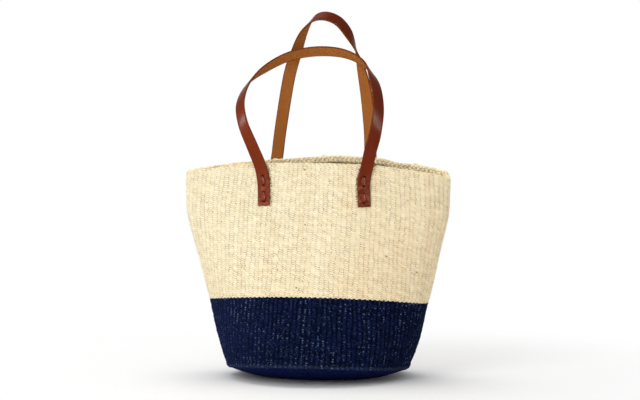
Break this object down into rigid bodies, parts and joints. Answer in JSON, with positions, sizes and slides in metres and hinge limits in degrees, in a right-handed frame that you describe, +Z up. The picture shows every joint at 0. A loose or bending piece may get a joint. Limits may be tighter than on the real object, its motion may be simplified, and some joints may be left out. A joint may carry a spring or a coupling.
{
  "type": "tote bag",
  "caption": "Woven fibre tote with a round base and a flat mouth, a dark lower band, a braided rim and flat leather strap handles laced to its walls.",
  "frame": {"origin": "centre of the bounding box on the floor, in the middle of the flat part of the base", "axes": "+Z up, +X to the right as seen from the front, +Y towards the back"},
  "size_m": [0.412, 0.277, 0.5537],
  "materials": {
    "navy_sisal": "twined sisal, dyed navy, matt, with pale stray fibres",
    "natural_sisal": "twined sisal, undyed cream, matt and dry",
    "strap_leather": "red-brown satin grain side, tan suede-like flesh side, dark cut edges",
    "lace_leather": "narrow flat thong, dull red-brown",
    "backing_leather": "tan, matt flesh side"
  },
  "bodies": {
    "bag": {"base": "navy_sisal", "lower_wall": "navy_sisal", "upper_wall": "natural_sisal", "rim_braid": "natural_sisal", "front_left_tab": "strap_leather", "front_left_patch": "backing_leather", "front_left_lace": "lace_leather", "front_right_tab": "strap_leather", "front_right_patch": "backing_leather", "front_right_lace": "lace_leather", "back_left_tab": "strap_leather", "back_left_patch": "backing_leather", "back_left_lace": "lace_leather", "back_right_tab": "strap_leather", "back_right_patch": "backing_leather", "back_right_lace": "lace_leather"},
    "front_handle": {"front_strap": "strap_leather"},
    "back_handle": {"back_strap": "strap_leather"}
  },
  "joints": [
    {"name": "front_handle_hinge", "type": "hinge", "parent": "bag", "child": "front_handle", "pos_m": [0, -0.04158, 0.32286], "axis": [1, 0, 0], "range_deg": [0, 140]},
    {"name": "back_handle_hinge", "type": "hinge", "parent": "bag", "child": "back_handle", "pos_m": [0, 0.04229, 0.32834], "axis": [-1, 0, 0], "range_deg": [0, 140]}
  ]
}
